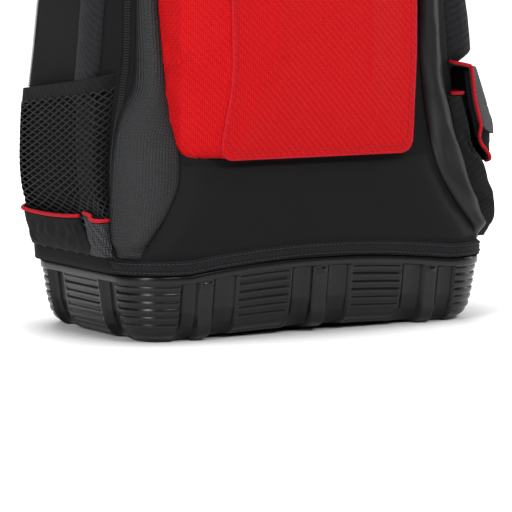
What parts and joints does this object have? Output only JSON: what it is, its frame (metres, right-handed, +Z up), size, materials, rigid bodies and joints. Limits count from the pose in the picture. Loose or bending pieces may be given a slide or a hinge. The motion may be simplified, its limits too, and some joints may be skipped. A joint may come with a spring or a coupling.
{
  "type": "tool backpack",
  "caption": "Upright tool backpack with a ribbed moulded base tray, a bulged front pocket, side pockets and a zipped hollow body.",
  "frame": {"origin": "on the floor, in the middle of the base tray's flat underside", "axes": "+X to the right when the front is faced, the front pocket looks towards -Y, +Z up to the haul handle"},
  "size_m": [0.4362, 0.2615, 0.5315],
  "materials": {
    "polypropylene": "satin",
    "black_polyester": "matt",
    "woven_nylon": "matt",
    "moulded_foam": "satin",
    "red_polyester": "matt",
    "red_piping": "matt",
    "net": "matt",
    "zip_tape": "matt",
    "grey_flap": "matt",
    "dark_metal": "satin"
  },
  "bodies": {
    "root": {"base_tray": "polypropylene", "base_binding": "woven_nylon", "main_shell": "black_polyester", "woven_gusset": "woven_nylon", "rear_zip": "zip_tape", "front_zip": "zip_tape", "corner_strip_left": "moulded_foam", "corner_strip_right": "moulded_foam", "lower_front_panel": "black_polyester", "front_pocket": "red_polyester", "mesh_pocket": "net", "mesh_pocket_band": "woven_nylon", "tool_sleeve_rear": "black_polyester", "tool_piping_rear": "red_piping", "tool_sleeve_front": "black_polyester", "tool_piping_front": "red_piping", "lower_side_pocket": "woven_nylon", "lower_side_binding": "red_piping", "upper_side_pocket": "black_polyester", "upper_side_flap": "grey_flap", "upper_side_piping": "red_piping", "back_pad_left": "black_polyester", "back_pad_right": "black_polyester", "lumbar_pad": "black_polyester", "shoulder_strap_left": "black_polyester", "ladder_lock_left": "polypropylene", "strap_webbing_left": "woven_nylon", "shoulder_strap_right": "black_polyester", "ladder_lock_right": "polypropylene", "strap_webbing_right": "woven_nylon", "haul_handle": "woven_nylon", "front_zip_slider": "dark_metal", "rear_zip_slider": "dark_metal", "front_pocket_zip": "zip_tape"}
  },
  "joints": []
}
